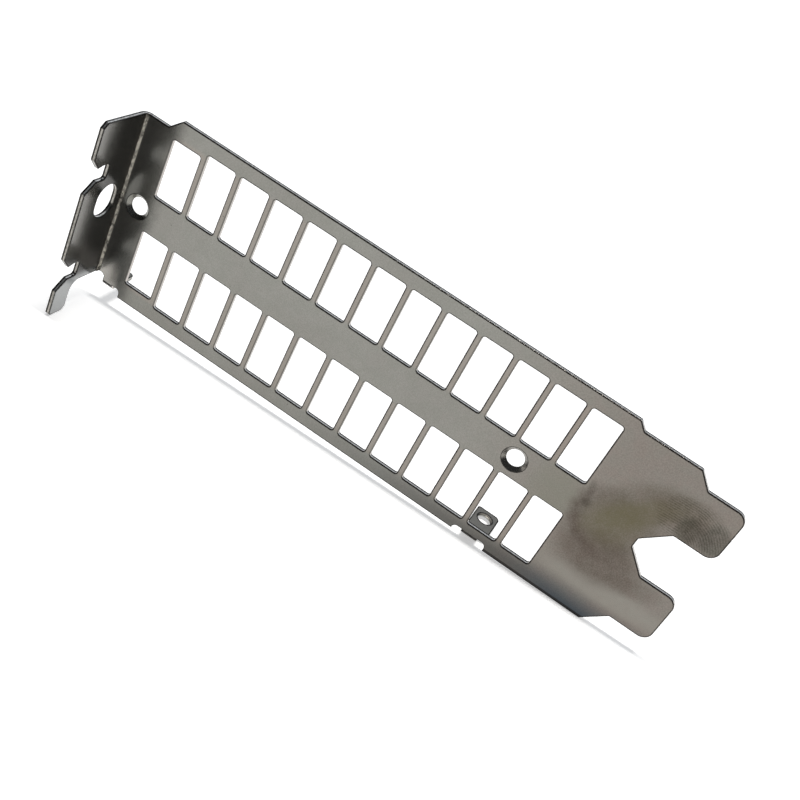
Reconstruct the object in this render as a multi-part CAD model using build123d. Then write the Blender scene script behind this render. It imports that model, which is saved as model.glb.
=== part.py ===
from build123d import *
import os
from math import hypot, radians, tan

# Full height bracket for a two-slot expansion card.
# One sheet of steel, punched, then folded at the tab and at two lugs.
# Frame: X runs along the bracket from the tab to the tongue tips, Y runs
# through the sheet from the outer face to the back, and Z runs across it.
# The model is drawn with the plate's outer face at Y = 0, and moved at the end
# so that the origin is midway between the countersunk holes, on the back face.
# Sizes named "from the tab" are measured from the tab's outer face.

# Sheet
sheet = 0.8
fold_inside_radius = 0.6
lug_inside_radius = 0.3
edge_roll = 0.15
mouth_chamfer = 0.12
corner_radius = 0.45

# Plate
overall_length = 120.02
plate_width = 38.1
first_hole_from_tab = 4.5
hole_spacing = 80.0
narrow_drop = 2.29
narrow_from_tab = 5.26
shoulder_from_tip = 22.25
shoulder_drop = 1.43
foot_extra = 0.46

# Tongues
slot_pitch = 20.32
tongue_pair_offset = 0.34
tongue_width = 10.19
tongue_tip_radius = 2.0
tongue_gap_depth = 11.57
tongue_gap_flat = 1.94

# Countersunk holes in the plate
screw_hole_diameter = 3.3
countersink_diameter = 4.7
countersink_angle = 90

# Vents, in two rows of windows whose first pair is shorter
vent_count = 13
vent_pitch = 6.965
vent_width = 5.84
vent_rim = 2.79
first_vent_cut = 1.05
first_vent_from_tab = 6.87
vent_row_gap = 7.22
vent_corner_radius = 0.5

# Tab, with the end of its fold and the slot through it
tab_depth = 11.43
tab_foot_below_notch = 2.87
tab_corner_chamfer = 1.0
slot_length = 6.7
slot_width = 5.3
slot_depth = 4.45
slot_rise = 0.16

# Screw notches in the tab's edge
upper_notch_rise = 6.7
notch_width = 3.1
notch_floor_depth = 6.65
notch_floor_radius = 0.6
notch_flare_depth = 8.9
notch_lip_depth = 9.65
notch_lip_reach = 0.4
notch_lip_chamfer = 1.9
notch_flare_drop = 2.1

# Hook that the tab ends in
hook_below_notch = 9.07
hook_inside_depth = 7.2
hook_corner_chamfer = 0.8
hook_tip_chamfer = 0.5
hook_root_radius = 2.1

# Threaded lug near the tongues
lug_from_tab = 83.4
lug_neck_width = 3.25
lug_width = 4.6
lug_reach = 9.4
lug_neck_reach = 2.3
lug_outer_radius = 1.0
lug_inner_radius = 0.5
lug_hole_diameter = 2.5
lug_hole_reach = 6.9
lug_hole_chamfer = 0.2

# Plain finger near the tab
finger_from_tab = 2.48
finger_width = 2.15
finger_reach = 7.2
finger_lift = 0.56
finger_end_radius = 0.9

# Relief notches beside the lugs, and the round one at the fold's foot
relief_radius = 0.88
fold_relief_rise = 0.4

# Places that follow from the sizes above
tab_outer_x = -(first_hole_from_tab + hole_spacing / 2)
seat_x = tab_outer_x + sheet
fold_end_x = seat_x + fold_inside_radius
tip_x = tab_outer_x + overall_length
top_z = plate_width / 2
bottom_z = -plate_width / 2
foot_z = bottom_z - foot_extra
lower_notch_z = upper_notch_rise - slot_pitch
narrow_z = top_z - narrow_drop
shoulder_z = top_z - shoulder_drop
tab_foot_z = lower_notch_z - tab_foot_below_notch
hook_z = lower_notch_z - hook_below_notch
finger_z = bottom_z + finger_lift
tongue_middle_z = -tongue_pair_offset
tongue_half = tongue_width / 2
lug_x = tab_outer_x + lug_from_tab
finger_x = tab_outer_x + finger_from_tab
hole_x = hole_spacing / 2

# The tab's seat, with its depth outwards from the plate as local X
SEAT = Plane(origin=(seat_x, 0, 0), x_dir=(0, -1, 0), z_dir=(-1, 0, 0))


def polygon(points):
    """A flat face through the points."""
    return make_face(Polyline(*points, close=True))


def rounded(face, radius, wanted):
    """Rounds the corners of a flat face that the test picks out."""
    return fillet([v for v in face.vertices() if wanted(v.X, v.Y)], radius)


def near(*points):
    """A test for a corner that lies at one of the points."""
    return lambda x, y: any(hypot(x - px, y - py) < sheet / 8 for px, py in points)


def relief(lug_side, away, face_z):
    """A notch beside a lug, as high as its bend and round on the far side."""
    top = face_z + sheet + lug_inside_radius
    far = lug_side + 2 * away * relief_radius
    middle = lug_side + away * relief_radius
    depth = top - foot_z + relief_radius
    notch = Pos(middle, top - depth / 2) * Rectangle(2 * relief_radius, depth)
    return rounded(notch, relief_radius, near((far, top)))


def neck(x, width, face_z):
    """The room below the plate's flat that a lug's bend takes."""
    flat_end = face_z + sheet + lug_inside_radius
    depth = flat_end - foot_z + relief_radius
    return Pos(x + width / 2, flat_end - depth / 2) * Rectangle(width, depth)


def plate_outline():
    """The plate's outline from the end of the fold to the tongue tips."""
    outer_top = tongue_middle_z + slot_pitch / 2 + tongue_half
    inner_top = tongue_middle_z + slot_pitch / 2 - tongue_half
    inner_low = tongue_middle_z - slot_pitch / 2 + tongue_half
    outer_low = tongue_middle_z - slot_pitch / 2 - tongue_half
    gap_x = tip_x - tongue_gap_depth
    root_x = gap_x + inner_top - tongue_middle_z - tongue_gap_flat / 2
    shoulder_x = tip_x - shoulder_from_tip
    narrow_x = tab_outer_x + narrow_from_tab
    foot_x = lug_x + lug_neck_width / 2
    outline = polygon([
        (fold_end_x, narrow_z),
        (narrow_x, narrow_z),
        (narrow_x + narrow_drop, top_z),
        (shoulder_x, top_z),
        (shoulder_x + shoulder_drop, shoulder_z),
        (root_x - shoulder_z + outer_top, shoulder_z),
        (root_x, outer_top),
        (tip_x, outer_top),
        (tip_x, inner_top),
        (root_x, inner_top),
        (gap_x, tongue_middle_z + tongue_gap_flat / 2),
        (gap_x, tongue_middle_z - tongue_gap_flat / 2),
        (root_x, inner_low),
        (tip_x, inner_low),
        (tip_x, outer_low),
        (root_x, outer_low),
        (root_x - outer_low + foot_z, foot_z),
        (foot_x, foot_z),
        (foot_x, bottom_z),
        (finger_x, bottom_z),
        (finger_x, tab_foot_z),
        (fold_end_x, tab_foot_z),
    ])
    outline = rounded(outline, tongue_tip_radius, lambda x, z: x > tip_x - sheet)
    outline = rounded(
        outline,
        corner_radius,
        lambda x, z: narrow_x - sheet < x < tip_x - 2 * tongue_tip_radius and abs(x - foot_x) > sheet,
    )
    lug_end = lug_x + lug_neck_width
    finger_end = finger_x + finger_width
    outline -= relief(lug_x, -1, bottom_z)
    outline -= relief(lug_end, 1, bottom_z)
    outline -= relief(finger_end, 1, finger_z)
    outline -= neck(lug_x, lug_neck_width, bottom_z)
    outline -= neck(finger_x, finger_width, finger_z)
    return outline


def vents():
    """Both rows of windows, with the first pair cut short at its outer ends."""
    vent_height = (plate_width - vent_row_gap) / 2 - vent_rim
    windows = []
    for row in (1, -1):
        for index in range(vent_count):
            height = vent_height - first_vent_cut if index == 0 else vent_height
            x = tab_outer_x + first_vent_from_tab + index * vent_pitch + vent_width / 2
            z = row * (vent_row_gap / 2 + height / 2)
            windows.append(Pos(x, z) * RectangleRounded(vent_width, height, vent_corner_radius))
    return Sketch() + windows


def plate():
    """The flat of the bracket, with its outer face at Y = 0."""
    flat = extrude(Plane.XZ * (plate_outline() - vents()), amount=-sheet)
    flat = chamfer(flat.faces().sort_by(Axis.Y)[0].inner_wires().edges(), mouth_chamfer)
    sink_depth = (countersink_diameter - screw_hole_diameter) / 2 / tan(radians(countersink_angle / 2))
    for x in (-hole_x, hole_x):
        through = extrude(Plane.XZ * Pos(x, 0) * Circle(screw_hole_diameter / 2), amount=-sheet)
        sink = loft([
            Plane.XZ * Pos(x, 0) * Circle(countersink_diameter / 2),
            Plane.XZ.offset(-sink_depth) * Pos(x, 0) * Circle(screw_hole_diameter / 2),
        ])
        flat -= through + sink
    return flat


def notch_points(middle):
    """A screw notch's outline, from its upper lip down to its lower flare."""
    upper = middle + notch_width / 2
    lower = middle - notch_width / 2
    lip = upper - notch_lip_reach
    return [
        (tab_depth, lip + notch_lip_chamfer),
        (notch_lip_depth, lip),
        ((notch_floor_depth + notch_lip_depth) / 2, upper),
        (notch_floor_depth, upper),
        (notch_floor_depth, lower),
        (notch_flare_depth, lower),
        (tab_depth, lower - notch_flare_drop),
    ]


def tab():
    """The tab, with two screw notches, a slot and the hook at its foot."""
    notches = [upper_notch_rise, lower_notch_z]
    outline = polygon([
        (fold_inside_radius, narrow_z),
        (tab_depth - tab_corner_chamfer, narrow_z),
        (tab_depth, narrow_z - tab_corner_chamfer),
        *notch_points(notches[0]),
        *notch_points(notches[1]),
        (tab_depth, hook_z + hook_tip_chamfer),
        (tab_depth - hook_tip_chamfer, hook_z),
        (hook_inside_depth + hook_corner_chamfer, hook_z),
        (hook_inside_depth, hook_z + hook_corner_chamfer),
        (hook_inside_depth, tab_foot_z),
        (fold_inside_radius, tab_foot_z),
    ])
    floors = []
    for middle in notches:
        floors += [(notch_floor_depth, middle + side * notch_width / 2) for side in (1, -1)]
    outline = rounded(outline, notch_floor_radius, near(*floors))
    outline = rounded(outline, hook_root_radius, near((hook_inside_depth, tab_foot_z)))
    outline -= Pos(slot_depth, slot_rise) * SlotOverall(slot_length, slot_width, rotation=90)
    leaf = extrude(SEAT * outline, amount=sheet)
    return chamfer(leaf.faces().sort_by(Axis.X)[-1].inner_wires().edges(), mouth_chamfer)


def bend_section(inside_radius):
    """A quarter ring of the sheet, from the left of its centre to above it."""
    outside_radius = inside_radius + sheet
    quarter = Pos(-outside_radius / 2, outside_radius / 2) * Rectangle(outside_radius, outside_radius)
    return (Circle(outside_radius) - Circle(inside_radius)) & quarter


def fold():
    """The fold between the plate and the tab."""
    middle = Pos(fold_end_x, -fold_inside_radius, tab_foot_z)
    return extrude(middle * bend_section(fold_inside_radius), amount=narrow_z - tab_foot_z)


def lug_bend(x, width, face_z):
    """The bend that turns a lug back from the plate's lower edge."""
    middle = Plane.YZ.offset(x) * Pos(sheet + lug_inside_radius, face_z + sheet + lug_inside_radius)
    return extrude(middle * Rot(0, 0, 90) * bend_section(lug_inside_radius), amount=width)


def threaded_lug():
    """The wide lug with a tapped hole, narrowed at its bend by a relief."""
    bend_end = sheet + lug_inside_radius
    neck_end = lug_x + lug_neck_width
    lug_end = lug_x + lug_width
    outline = polygon([
        (lug_x, bend_end),
        (neck_end, bend_end),
        (neck_end, lug_neck_reach),
        (lug_end, lug_neck_reach),
        (lug_end, lug_reach),
        (lug_x, lug_reach),
    ])
    outline = rounded(outline, lug_outer_radius, near((lug_end, lug_reach)))
    outline = rounded(outline, lug_inner_radius, near((lug_x, lug_reach), (lug_end, lug_neck_reach)))
    pad = extrude(Pos(0, 0, bottom_z) * outline, amount=sheet)
    hole = Pos(lug_x + lug_width / 2, lug_hole_reach, bottom_z)
    drill = extrude(hole * Circle(lug_hole_diameter / 2), amount=sheet)
    mouth = extrude(hole * Pos(0, 0, sheet - lug_hole_chamfer) * Circle(lug_hole_diameter / 2),
                    amount=lug_hole_chamfer, taper=-45)
    return lug_bend(lug_x, lug_neck_width, bottom_z) + (pad - drill - mouth)


def finger():
    """The plain finger near the tab, with a rounded end."""
    bend_end = sheet + lug_inside_radius
    outline = polygon([
        (finger_x, bend_end),
        (finger_x + finger_width, bend_end),
        (finger_x + finger_width, finger_reach),
        (finger_x, finger_reach),
    ])
    outline = rounded(outline, finger_end_radius, lambda x, y: y > finger_reach - sheet)
    pad = extrude(Pos(0, 0, finger_z) * outline, amount=sheet)
    return lug_bend(finger_x, finger_width, finger_z) + pad


def fold_relief():
    """The round hole in the corner between the fold and the finger."""
    centre = Pos(finger_x - relief_radius, tab_foot_z + fold_relief_rise - relief_radius)
    return extrude(Plane.XZ.offset(-sheet) * centre * Circle(relief_radius), amount=3 * sheet)


def is_struck(face):
    """Whether a face of the plate, fold or tab is on the side the punch struck."""
    middle = face.center()
    if face.geom_type == GeomType.PLANE:
        normal = face.normal_at(middle)
        on_plate = normal.Y < -0.99 and abs(middle.Y) < edge_roll / 2
        on_tab = normal.X > 0.99 and abs(middle.X - seat_x) < edge_roll / 2
        return on_plate or on_tab
    if face.geom_type != GeomType.CYLINDER:
        return False
    along = face.axis_of_rotation.direction
    hollow = abs(along.Z) > 0.99 and abs(face.radius - fold_inside_radius) < edge_roll / 4
    return hollow and -fold_inside_radius < middle.Y < 0 and seat_x < middle.X < fold_end_x


def is_rolled(edge):
    """Whether an edge is clear of the lugs and of the relief at the fold's foot."""
    middle = edge.center()
    bend_top = max(tab_foot_z, finger_z + sheet + lug_inside_radius)
    low = middle.Z < bend_top + relief_radius and middle.Y > -fold_inside_radius
    by_lug = lug_x - 4 * relief_radius < middle.X < lug_x + lug_width + 2 * relief_radius
    by_finger = middle.X < finger_x + finger_width + 4 * relief_radius
    return not (low and (by_lug or by_finger))


def roll_edges(body):
    """Rounds the outer edges over on the side that the punch struck."""
    around = [edge for face in body.faces() if is_struck(face) for edge in face.outer_wire().edges()]
    outer = [edge for edge in around if sum(edge.is_same(other) for other in around) == 1]
    return fillet([edge for edge in outer if is_rolled(edge)], edge_roll)


bracket = plate() + fold() + tab() + threaded_lug() + finger() - fold_relief()
bracket = Pos(0, -sheet, 0) * roll_edges(bracket)

os.makedirs("parts", exist_ok=True)
export_step(bracket, "parts/bracket.step")
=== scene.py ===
"""A full height bracket for an expansion card, as it lies on a pale table."""

import math

import bpy
from mathutils import Matrix, Vector


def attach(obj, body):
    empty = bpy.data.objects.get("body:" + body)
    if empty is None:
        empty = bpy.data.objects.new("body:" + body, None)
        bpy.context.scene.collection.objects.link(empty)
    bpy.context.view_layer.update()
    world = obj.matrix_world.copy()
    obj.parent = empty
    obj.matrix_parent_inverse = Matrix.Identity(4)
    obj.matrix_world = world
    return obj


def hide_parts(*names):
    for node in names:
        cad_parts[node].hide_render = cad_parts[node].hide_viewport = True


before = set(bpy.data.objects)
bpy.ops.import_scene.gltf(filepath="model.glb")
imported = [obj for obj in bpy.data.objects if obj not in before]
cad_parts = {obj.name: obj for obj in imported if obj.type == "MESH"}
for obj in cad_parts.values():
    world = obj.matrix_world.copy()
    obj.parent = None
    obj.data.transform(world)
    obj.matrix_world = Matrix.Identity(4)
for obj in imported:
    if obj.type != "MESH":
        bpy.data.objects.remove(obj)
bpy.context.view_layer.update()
bpy.ops.object.select_all(action="DESELECT")


# The bracket is one sheet of steel with a satin nickel plate, punched and then
# folded. The punch rolled the struck side's edges over, and the walls are grey.
# The rolled edges are painted dark, a painted shade for the dark they reflect.
# The mesh is the CAD sheet with its triangles joined.

MM = 0.001
SHEET = 0.8
FOLD_RADIUS = 0.6
FOLD_X, FOLD_Y = -43.1, -1.4
HOLE_X = 40.0
HOLE_RADIUS = 1.65
SINK_RADIUS = 2.5
BORE = (41.2, 6.1, -18.97)
BORE_RADIUS = 1.25
TAPPED_RADIUS = 1.43
ROLL = 0.16
SHADE_RIM_WIDTH = 0.11
LUG_SHADE_RIM_WIDTH = 0.24
FULL_RIM_SHADE = 1.0
RIGHT_RIM_SHADE = 0.5
MERGED = 0.002
SLACK = 0.02
FLAT = 0.99
ROLL_LEAST, ROLL_MOST = 0.15, 0.98

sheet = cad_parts["bracket"].copy()
sheet.data = sheet.data.copy()
sheet.name = "nickel_sheet"
bpy.context.scene.collection.objects.link(sheet)
bpy.context.view_layer.objects.active = sheet
sheet.select_set(True)
bpy.ops.object.mode_set(mode="EDIT")
bpy.ops.mesh.select_mode(type="VERT")
bpy.ops.mesh.select_all(action="SELECT")
bpy.ops.mesh.remove_doubles(threshold=MERGED * MM)
bpy.ops.mesh.select_all(action="DESELECT")
bpy.ops.object.mode_set(mode="OBJECT")

# The tap widened the lug's bore to the thread's outer size.
for point in sheet.data.vertices:
    reach = math.hypot(point.co.x / MM - BORE[0], point.co.y / MM - BORE[1])
    point.select = reach < BORE_RADIUS + SLACK
bore_middle = [part * MM for part in BORE]
widening = TAPPED_RADIUS / BORE_RADIUS
bpy.ops.object.mode_set(mode="EDIT")
bpy.ops.transform.resize(value=(widening, widening, 1), center_override=bore_middle)
bpy.ops.mesh.select_mode(type="FACE")
bpy.ops.mesh.select_all(action="DESELECT")
bpy.ops.object.mode_set(mode="OBJECT")


def inner_side(face):
    """Whether a face is flat plate, fold or tab on the side the punch struck."""
    x, y = face.center.xy / MM
    turned = face.normal
    on_plate = turned.y < -FLAT and abs(y + SHEET) < SLACK
    on_tab = turned.x > FLAT and abs(x - FOLD_X + FOLD_RADIUS) < SLACK
    in_corner = x < FOLD_X and y > FOLD_Y
    reach = math.hypot(x - FOLD_X, y - FOLD_Y)
    on_fold = in_corner and reach < FOLD_RADIUS + SLACK and abs(turned.z) < 0.1
    return on_plate or on_tab or on_fold


def top_of_lug(face):
    """Whether a face is the upper side of the lug or the finger."""
    return face.normal.z > FLAT and face.center.y > 0.4 * MM


def rolled_over(face):
    """Whether a face belongs to the rolled edge round the struck side."""
    x, y, z = face.center / MM
    turned = face.normal
    if math.hypot(abs(x) - HOLE_X, z) < SINK_RADIUS:
        return False
    by_plate = y < ROLL - SHEET and x > FOLD_X and ROLL_LEAST < -turned.y < ROLL_MOST
    near_tab = x > FOLD_X - FOLD_RADIUS - ROLL and y < FOLD_Y
    by_tab = near_tab and ROLL_LEAST < turned.x < ROLL_MOST
    reach = math.hypot(x - FOLD_X, y - FOLD_Y)
    in_corner = x < FOLD_X and y > FOLD_Y and reach < FOLD_RADIUS + ROLL
    by_fold = in_corner and ROLL_LEAST < abs(turned.z) < ROLL_MOST
    return by_plate or by_tab or by_fold


def give_border(chosen, width):
    """Cut a narrow border into faces chosen by their place, and leave it selected."""
    for face in sheet.data.polygons:
        face.select = chosen(face)
    bpy.ops.object.mode_set(mode="EDIT")
    bpy.ops.mesh.inset(thickness=width * MM, use_select_inset=True)
    bpy.ops.object.mode_set(mode="OBJECT")


# The borders and the rolled edges carry a dark edge of painted shade, which stands
# in for the dark that the rolls reflect. This painted shade is fainter where the
# roll beside it faces the tongues.
sheet.data.attributes.new("painted_rim_shade", "FLOAT", "FACE")
give_border(top_of_lug, LUG_SHADE_RIM_WIDTH)
for face, entry in zip(sheet.data.polygons, sheet.data.attributes["painted_rim_shade"].data):
    if face.select:
        entry.value = FULL_RIM_SHADE
give_border(inner_side, SHADE_RIM_WIDTH)
rolls = {}
for face in sheet.data.polygons:
    if rolled_over(face) and face.center.x > FOLD_X * MM:
        rolls.update((edge, face.normal.x) for edge in face.edge_keys)
for face, entry in zip(sheet.data.polygons, sheet.data.attributes["painted_rim_shade"].data):
    if face.select or rolled_over(face):
        faces_right = max(rolls.get(edge, 0.0) for edge in face.edge_keys) > 0.25
        entry.value = RIGHT_RIM_SHADE if faces_right else FULL_RIM_SHADE
bpy.ops.mesh.customdata_custom_splitnormals_clear()
bpy.ops.object.shade_smooth_by_angle(angle=math.radians(32))
sheet.select_set(False)


class Wire:
    """A shader socket that takes part in sums as a number does."""

    def __init__(self, socket):
        self.socket = socket

    def joined(self, operation, first, second):
        tree = self.socket.id_data
        step = tree.nodes.new("ShaderNodeMath")
        step.operation = operation
        for value, entry in zip((first, second), step.inputs):
            if isinstance(value, Wire):
                tree.links.new(value.socket, entry)
            else:
                entry.default_value = value
        return Wire(step.outputs[0])

    def __add__(self, other):
        return self.joined("ADD", self, other)

    def __radd__(self, other):
        return self.joined("ADD", other, self)

    def __sub__(self, other):
        return self.joined("SUBTRACT", self, other)

    def __rsub__(self, other):
        return self.joined("SUBTRACT", other, self)

    def __mul__(self, other):
        return self.joined("MULTIPLY", self, other)

    def __rmul__(self, other):
        return self.joined("MULTIPLY", other, self)

    def __truediv__(self, other):
        return self.joined("DIVIDE", self, other)

    def __pow__(self, other):
        return self.joined("POWER", self, other)


class Finish:
    """A material or a world whose nodes are all added by one method."""

    def __init__(self, owner):
        owner.use_nodes = True
        self.owner = owner
        self.tree = owner.node_tree
        self.tree.nodes.clear()

    def node(self, kind, settings=None, **sockets):
        """Add a node. Its sockets go by name, or by number as i0, i1 and so on."""
        made = self.tree.nodes.new("ShaderNode" + kind)
        for name, value in (settings or {}).items():
            setattr(made, name, value)
        for name, value in sockets.items():
            by_number = name[1:].isdigit()
            entry = made.inputs[int(name[1:]) if by_number else name.replace("_", " ")]
            if isinstance(value, Wire):
                self.tree.links.new(value.socket, entry)
            else:
                entry.default_value = value
        return made

    def wire(self, kind, settings=None, output=0, **sockets):
        """Add a node and take one of its outputs."""
        return Wire(self.node(kind, settings, **sockets).outputs[output])

    def noise(self, at, scale, detail=2.0, roughness=0.5):
        return self.wire("TexNoise", Vector=at, Scale=scale, Detail=detail, Roughness=roughness)

    def ramp(self, value, low, high, to_low=0.0, to_high=1.0):
        """Go smoothly from one level to another as a value passes from low to high."""
        return self.wire(
            "MapRange", {"interpolation_type": "SMOOTHSTEP"},
            i0=value, i1=low, i2=high, i3=to_low, i4=to_high,
        )

    def fall(self, value, low, high):
        """Go smoothly from 1 down to 0 as a value passes from low to high."""
        return self.ramp(value, low, high, 1.0, 0.0)

    def tint(self, factor, under, over):
        """Lay a colour over another one. Each is a link or three numbers."""
        under, over = (
            entry if isinstance(entry, Wire) else (*entry, 1) for entry in (under, over)
        )
        return self.wire("Mix", {"data_type": "RGBA"}, 2, i0=factor, i6=under, i7=over)

    def greater(self, first, second):
        return self.wire("Math", {"operation": "MAXIMUM"}, i0=first, i1=second)

    def size_of(self, value):
        return self.wire("Math", {"operation": "ABSOLUTE"}, i0=value)


def reach_of(first, second):
    """How far a place is from a point, from its distances along two axes."""
    return (first * first + second * second) ** 0.5


nickel = Finish(bpy.data.materials.new("nickel_plate"))
place = nickel.wire("TexCoord", output="Object")
in_mm = nickel.wire("VectorMath", {"operation": "SCALE"}, i0=place, i3=1 / MM)
parts = nickel.node("SeparateXYZ", i0=in_mm)
across, through, height = (Wire(socket) for socket in parts.outputs)
facing = nickel.node("SeparateXYZ", i0=nickel.wire("NewGeometry", output="True Normal"))
to_right, to_top = Wire(facing.outputs["X"]), Wire(facing.outputs["Z"])

cloud = nickel.noise(in_mm, 0.07, 3.0)
drift = nickel.noise(in_mm, 0.35, 3.0)
grain = nickel.noise(in_mm, 7.0, 2.0, 0.6)
specks = nickel.ramp(nickel.noise(in_mm, 3.6, 3.0, 0.65), 0.35, 0.65)
blotches = nickel.ramp(nickel.noise(in_mm, 0.8, 3.0, 0.6), 0.35, 0.65)

# How deep a place lies in the sheet, from the struck side, round the fold too.
past_fold_x = nickel.greater(FOLD_X - across, 0.0)
past_fold_y = nickel.greater(through - FOLD_Y, 0.0)
depth = reach_of(past_fold_x, past_fold_y) - FOLD_RADIUS
on_struck = nickel.fall(depth, 0.02, 0.05)
on_front = on_struck * nickel.ramp(across, FOLD_X - 0.1, FOLD_X + 0.1)
hole_reach = reach_of(nickel.size_of(across) - HOLE_X, height)
off_sink = nickel.ramp(hole_reach, SINK_RADIUS - 0.1, SINK_RADIUS)
in_bore = nickel.fall(hole_reach, HOLE_RADIUS + 0.02, HOLE_RADIUS + 0.07)
before_back = nickel.fall(depth, SHEET - 0.015, SHEET - 0.005) * off_sink
on_wall = nickel.ramp(depth, ROLL + 0.01, ROLL + 0.05) * before_back


def spot(x, z, half_x, half_z, turn, soft=0.35, waver=0.14):
    """How much a soft-edged oval mark covers a place on the plate, 0 to 1."""
    from_x = across - x
    from_z = height - z
    cos, sin = math.cos(math.radians(turn)), math.sin(math.radians(turn))
    along_it = (from_x * cos + from_z * sin) / half_x
    across_it = (from_z * cos - from_x * sin) / half_z
    reach = reach_of(along_it, across_it) + (drift - 0.5) * (2 * waver)
    return nickel.fall(reach, 1 - soft, 1 + soft) * on_front


def mark(under, cover, share, over):
    """Colour under a mark that is blotchy and grainy, as dried marks are."""
    dried = specks * 0.30 + blotches * 0.20 + 0.75
    return nickel.tint(cover * dried * share, under, over)


# Bare plate: neutral near the tab, warmer and a little darker at the tongues, with
# a neutral patch between the last windows, warm bars and one pale streak.
warmth = nickel.ramp(across, 20.0, 64.0)
colour = nickel.tint(warmth, (0.312, 0.308, 0.282), (0.256, 0.221, 0.194))
colour = nickel.tint(nickel.ramp(cloud, 0.35, 0.65) * 0.35, colour, (0.262, 0.248, 0.226))
mottle = nickel.ramp(nickel.noise(in_mm, 0.45, 3.0, 0.6), 0.38, 0.62)
colour = nickel.tint(mottle * 0.20, colour, (0.235, 0.250, 0.215))
colour = nickel.tint(specks * (warmth * 0.14 + 0.19), colour, (0.130, 0.115, 0.100))
colour = mark(colour, spot(48.5, -0.5, 4.2, 5.0, 0, 0.5), 0.55, (0.215, 0.212, 0.172))
off_axis = nickel.size_of(height)
in_rows = nickel.ramp(off_axis, 3.6, 4.6) * nickel.fall(off_axis, 15.4, 16.4)
on_bars = on_front * in_rows * nickel.fall(across, 50.5, 53.0)
colour = nickel.tint(on_bars * 0.25, colour, (0.42, 0.335, 0.285))
colour = mark(colour, spot(65.0, -12.6, 13.0, 2.2, 3, 0.5), 0.7, (0.285, 0.272, 0.240))

# Handling marks near the tongues: brown veils, a ring that dried from a drop, its
# greenish middle, and darker smears on the upper tongue.
colour = mark(colour, spot(66.4, 9.3, 5.6, 3.1, 14, 0.45), 0.46, (0.105, 0.088, 0.062))
colour = mark(colour, spot(61.2, 6.6, 6.6, 3.6, 42, 0.45), 0.42, (0.118, 0.098, 0.076))
colour = mark(colour, spot(60.9, -6.9, 6.9, 4.8, 0, 0.40), 0.62, (0.105, 0.084, 0.068))
colour = mark(colour, spot(68.8, -8.0, 3.9, 1.9, 14, 0.5), 0.32, (0.105, 0.084, 0.068))
colour = mark(colour, spot(53.8, -6.0, 2.0, 5.2, 12, 0.6), 0.28, (0.125, 0.100, 0.082))
colour = mark(colour, spot(60.0, 0.6, 7.6, 5.8, 0, 0.30), 0.46, (0.105, 0.088, 0.070))
drop = spot(60.8, 0.2, 9.0, 7.8, 0, 0.12, 0.06)
ring = drop * (1 - spot(61.1, 0.6, 7.3, 6.2, 0, 0.18, 0.06))
ring_share = nickel.fall(across + height * 0.7, 50.0, 62.0)
colour = mark(colour, ring * ring_share, 0.58, (0.085, 0.064, 0.052))
colour = mark(colour, spot(53.7, 0.9, 0.80, 0.80, 0, 0.7), 0.55, (0.060, 0.050, 0.040))
colour = mark(colour, spot(53.2, 3.4, 0.60, 1.70, 14, 0.7), 0.36, (0.080, 0.066, 0.055))
colour = mark(colour, spot(59.4, 0.6, 5.4, 4.0, 50, 0.5), 0.40, (0.128, 0.114, 0.064))
colour = mark(colour, spot(61.2, 4.0, 7.6, 2.3, 48, 0.5), 0.40, (0.140, 0.126, 0.072))
colour = mark(colour, spot(69.3, 7.0, 1.9, 2.6, 0, 0.35), 0.54, (0.060, 0.062, 0.044))
colour = mark(colour, spot(73.7, 7.9, 2.5, 2.9, 0, 0.30), 0.47, (0.058, 0.062, 0.050))
colour = mark(colour, spot(70.6, 7.4, 2.6, 2.4, 0, 0.40), 0.35, (0.080, 0.066, 0.055))

# One smudged print lies on the upper tongue. Its ridges run round a point at the
# patch's lower edge, stretched towards the tab, and are worn in places.
PRINT_X, PRINT_Z = 68.3, 3.0
PRINT_SPACING = 0.43
swirl_x = across - PRINT_X
swirl_x = nickel.greater(swirl_x, swirl_x * 0.25)
swirl = reach_of(swirl_x, height - PRINT_Z) + (drift - 0.5) * 0.7
waves = nickel.wire("Math", {"operation": "SINE"}, i0=swirl * (2 * math.pi / PRINT_SPACING))
worn = nickel.ramp(nickel.noise(in_mm, 0.9), 0.30, 0.55, 0.35, 1.0)
print_patch = spot(69.4, 8.2, 6.2, 4.4, -6, 0.22)
ridges = print_patch * (waves * 0.5 + 0.5) * worn
colour = mark(colour, ridges, 0.42, (0.045, 0.038, 0.026))

# Painted shade darkens the lower edge, a painted reflection of the shaded table
# below it. It is grey along the windows, bluish towards the tongues and densest at
# the corner there, and ends in a thin dark line of painted shade.
PAINTED_EDGE_SHADE = (0.022, 0.020, 0.019)
painted_low_shade = nickel.fall(height, -18.2, -13.7) * nickel.ramp(across, -10.0, 50.0, 0.08, 0.66)
painted_low_shade_blue = nickel.ramp(across, 46.0, 58.0)
painted_low_shade_colour = nickel.tint(painted_low_shade_blue, (0.044, 0.045, 0.046), (0.024, 0.044, 0.064))
colour = nickel.tint(on_front * painted_low_shade, colour, painted_low_shade_colour)
painted_corner_shade = nickel.fall(height, -19.6, -17.2) * nickel.ramp(across, 52.0, 60.0)
colour = nickel.tint(on_front * painted_corner_shade * 0.55, colour, (0.022, 0.042, 0.060))
foot_line = on_front * nickel.fall(height, -18.90, -18.80)
colour = nickel.tint(foot_line * 0.8, colour, PAINTED_EDGE_SHADE)
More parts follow.
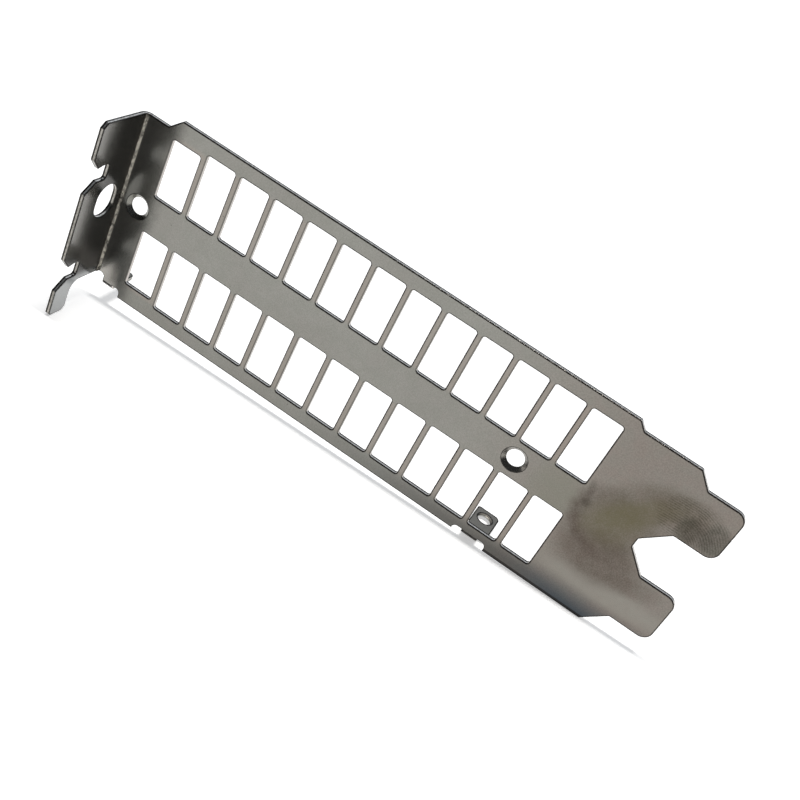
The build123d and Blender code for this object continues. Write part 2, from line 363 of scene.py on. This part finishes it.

# Painted shade darkens both sides of the fold, where the metal reflects itself and
# the dark. It gets lighter towards the tab's free edge, the first windows and the
# foot of the fold, as painted reflection. The tab's foot is painted with shade too,
# and the hook below it is painted pale as a reflection.
by_fold = on_front * nickel.fall(across + (drift - 0.5) * 3, -38.9, -34.9)
foot = nickel.fall(height, -16.0, -11.5) * nickel.fall(across, -40.2, -38.6)
painted_fold_shade = nickel.tint(foot, (0.135, 0.133, 0.122), (0.450, 0.430, 0.395))
colour = nickel.tint(by_fold, colour, painted_fold_shade)
on_tab = on_struck * nickel.fall(across, FOLD_X - FOLD_RADIUS + 0.05, FOLD_X - 0.2)
painted_tab_reflection = nickel.ramp(through + (cloud - 0.5) * 10, -11.6, -5.5, 0.30, 0.09)
tab_colour = nickel.tint(painted_tab_reflection, (0, 0, 0), (1.0, 0.975, 0.925))
tab_foot_shade = nickel.fall(height, -11.0, -7.6)
tab_colour = nickel.tint(tab_foot_shade * 0.85, tab_colour, (0.075, 0.074, 0.072))
on_hook = nickel.fall(height, -16.6, -14.2)
tab_colour = nickel.tint(on_hook, tab_colour, (0.420, 0.430, 0.430))
colour = nickel.tint(on_tab, colour, tab_colour)

# The fold's hollow carries a painted highlight: its middle is painted bright and its
# sides painted dark. Scuffs break the glint into short runs, and it is nicked
# nearly black.
stretched = nickel.wire("VectorMath", {"operation": "MULTIPLY"}, i0=in_mm, i1=(1.2, 1.2, 0.6))
scuff = nickel.ramp(nickel.noise(stretched, 1.3, 4.0, 0.7), 0.45, 0.55)
off_middle = nickel.size_of(past_fold_x - past_fold_y) / FOLD_RADIUS
past_both = nickel.ramp(past_fold_x, 0.02, 0.10) * nickel.ramp(past_fold_y, 0.02, 0.10)
in_fold = on_struck * past_both
nicked = nickel.ramp(nickel.noise(in_mm, 0.9, 2.0, 0.6), 0.57, 0.61)
colour = nickel.tint(in_fold, colour, (0.330, 0.310, 0.265))
fold_shade_and_scuff = in_fold * nickel.greater(nickel.ramp(off_middle, 0.45, 1.0), scuff * 0.85)
colour = nickel.tint(fold_shade_and_scuff, colour, (0.105, 0.099, 0.087))
colour = nickel.tint(in_fold * nicked * 0.8, colour, (0.020, 0.019, 0.018))

# Cut walls are grey and mottled. Painted light makes them paler where they face
# the tongues and palest where they face up. The half by the back is nearly black,
# except on walls that face the tongues, where painted light keeps it lighter. The
# screw holes' bores are darkened with painted shade, and so is the struck side's
# rolled edge.
DARK_CUT_AND_SHADE = (0.030, 0.028, 0.026)
torn = nickel.ramp(nickel.noise(in_mm, 2.4, 2.0, 0.6), 0.38, 0.62)
wall_colour = nickel.tint(torn, (0.43, 0.41, 0.375), (0.26, 0.245, 0.22))
faces_tongues = nickel.ramp(to_right, 0.5, 0.8)
wall_colour = nickel.tint(faces_tongues, wall_colour, (0.56, 0.52, 0.49))
faces_up = nickel.ramp(to_top, 0.5, 0.8)
wall_colour = nickel.tint(faces_up * (1 - torn * 0.6), wall_colour, (0.86, 0.84, 0.82))
colour = nickel.tint(on_wall, colour, wall_colour)
back_line = nickel.ramp(depth, 0.44, 0.50) * before_back * (1 - faces_tongues * 0.9)
colour = nickel.tint(back_line * 0.95, colour, DARK_CUT_AND_SHADE)
colour = nickel.tint(in_bore * 0.85, colour, DARK_CUT_AND_SHADE)
# Painted shade along the rolled edges and borders, read from the face attribute.
painted_rim_shade_mark = nickel.wire("Attribute", {"attribute_name": "painted_rim_shade"}, "Fac")
colour = nickel.tint(painted_rim_shade_mark * (1 - torn * 0.25), colour, PAINTED_EDGE_SHADE)

# Fine pits in the plate.
pits = nickel.wire("TexVoronoi", {"feature": "F1"}, Vector=in_mm, Scale=0.22)
pit = nickel.fall(pits, 0.018, 0.034)
colour = nickel.tint(pit * 0.5, colour, (0.03, 0.028, 0.025))

# The satin is a little rougher under the print and in the countersinks.
satin = nickel.ramp(grain, 0.3, 0.7, 0.17, 0.24)
rough = satin + print_patch * 0.05 + (1 - off_sink) * 0.07
bump = nickel.wire("Bump", Strength=0.12, Distance=0.02 * MM, Height=grain)
skin = nickel.wire("BsdfPrincipled", Base_Color=colour, Metallic=1.0, Roughness=rough, Normal=bump)
nickel.node("OutputMaterial", Surface=skin)
sheet.data.materials.clear()
sheet.data.materials.append(nickel.owner)

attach(sheet, "root")
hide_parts("bracket")


# The lug's hole is tapped: the tap widened the bore and cut a thread there. One
# turn of the thread's ridge runs round the bore, in bare grey steel.

THREAD_PITCH = 0.5
THREAD_STEPS = 48
RIDGE = 0.16
CUT_STEEL = (0.36, 0.36, 0.345, 1)

bpy.ops.mesh.primitive_circle_add(
    vertices=3, radius=RIDGE * MM, fill_type="NOTHING",
    location=(TAPPED_RADIUS * MM, 0, 0), rotation=(math.radians(90), math.radians(90), 0),
)
thread = bpy.context.object
thread.name = "lug_thread"
bpy.ops.object.transform_apply(location=True, rotation=True, scale=True)
turns = thread.modifiers.new("turns", "SCREW")
turns.angle = math.radians(360)
turns.screw_offset = THREAD_PITCH * MM
turns.steps = turns.render_steps = THREAD_STEPS
bpy.ops.object.modifier_apply(modifier="turns")
bpy.ops.object.mode_set(mode="EDIT")
bpy.ops.mesh.select_all(action="SELECT")
bpy.ops.mesh.fill_holes(sides=4)
bpy.ops.mesh.normals_make_consistent(inside=False)
bpy.ops.transform.translate(value=bore_middle)
bpy.ops.object.mode_set(mode="OBJECT")
bpy.ops.object.shade_smooth_by_angle(angle=math.radians(40))
cut = Finish(bpy.data.materials.new("cut_steel"))
cut_skin = cut.wire("BsdfPrincipled", Base_Color=CUT_STEEL, Metallic=1.0, Roughness=0.3)
cut.node("OutputMaterial", Surface=cut_skin)
thread.data.materials.append(cut.owner)
thread.select_set(False)

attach(thread, "root")


# The table is a plain white sheet. The bracket stands on its lower edge there,
# on the hook and the foot of its right end. The table isn't part of the bracket.
# It looks white to the camera and in the metal, and keeps a thin shadow.

TABLE_SIZE = 4.0
TABLE_Z = -21.07
TABLE_RISE_X = 0.0243
TABLE_RISE_Y = 0.0571
GLOW_SEEN = 0.45
GLOW_MIRRORED = 0.30

table_up = Vector((-TABLE_RISE_X, -TABLE_RISE_Y, 1)).normalized()
table_turn = table_up.to_track_quat("Z", "Y").to_euler()
bpy.ops.mesh.primitive_plane_add(
    size=TABLE_SIZE, location=(0, 0, TABLE_Z * MM), rotation=table_turn
)
bpy.ops.object.transform_apply(location=True, rotation=True, scale=True)
table = bpy.context.object
table.name = "table"
white = Finish(bpy.data.materials.new("white_table"))
ray = white.node("LightPath")
seen = Wire(ray.outputs["Is Camera Ray"])
mirrored = white.greater(
    Wire(ray.outputs["Is Glossy Ray"]), Wire(ray.outputs["Is Transmission Ray"])
)
strength = seen * GLOW_SEEN + mirrored * GLOW_MIRRORED
matt = white.wire("BsdfDiffuse", Color=(0.8, 0.8, 0.8, 1))
glow = white.wire("Emission", Color=(1, 1, 1, 1), Strength=strength)
both = white.wire("AddShader", i0=matt, i1=glow)
white.node("OutputMaterial", Surface=both)
table.data.materials.append(white.owner)
table.select_set(False)


# The light is a plain soft studio light: one long soft lamp straight above the
# sheet, which gives the thin shadow, in a room that is paler behind the bracket
# and dim on the camera's side.

LAMP_HEIGHT = 1.5
LAMP_BACK = 0.012
LAMP_LENGTH = 0.5
LAMP_WIDTH = 0.05
LAMP_POWER = 16.0
ROOM_DIM, ROOM_PALE = 0.06, 0.58

lamp = bpy.data.lights.new("overhead", "AREA")
lamp.shape = "RECTANGLE"
lamp.size = LAMP_LENGTH
lamp.size_y = LAMP_WIDTH
lamp.energy = LAMP_POWER
lamp.color = (1.0, 0.98, 0.95)
overhead = bpy.data.objects.new("overhead", lamp)
overhead.location = (0, LAMP_BACK, LAMP_HEIGHT)
bpy.context.scene.collection.objects.link(overhead)

room = Finish(bpy.data.worlds.new("room"))
sight = room.node("SeparateXYZ", i0=room.wire("TexCoord", output="Generated"))
towards_back = Wire(sight.outputs["Y"]) * 0.85 + Wire(sight.outputs["Z"]) * 0.30
bright = room.ramp(towards_back, -0.25, 0.65, ROOM_DIM, ROOM_PALE)
camera_ray = room.wire("LightPath", output="Is Camera Ray")
air_colour = room.tint(camera_ray, (0.93, 0.98, 1.04), (1, 1, 1))
air_strength = bright * (1 - camera_ray) + camera_ray
air = room.wire("Background", Color=air_colour, Strength=air_strength)
room.node("OutputWorld", Surface=air)
bpy.context.scene.world = room.owner


# The camera stands where the photograph was taken from, a little above and to
# the right of the bracket's middle, with a lens of 49 mm on a 36 mm frame.

LENS = 48.93
LENS_FRAME = 36.0

stand = Vector((44.25, -156.16, 96.64)) * MM
forward = Vector((-0.1401, 0.8339, -0.5339)).normalized()
upward = Vector((-0.5531, 0.3813, 0.7407))
rightward = forward.cross(upward).normalized()
upward = rightward.cross(forward)
lens = bpy.data.cameras.new("photo")
lens.lens = LENS
lens.sensor_width = LENS_FRAME
lens.clip_start = 0.01
camera = bpy.data.objects.new("photo", lens)
turned = Matrix((rightward, upward, -forward)).transposed().to_4x4()
camera.matrix_world = Matrix.Translation(stand) @ turned
bpy.context.scene.collection.objects.link(camera)
bpy.context.scene.camera = camera
bpy.context.scene.view_settings.view_transform = "Standard"
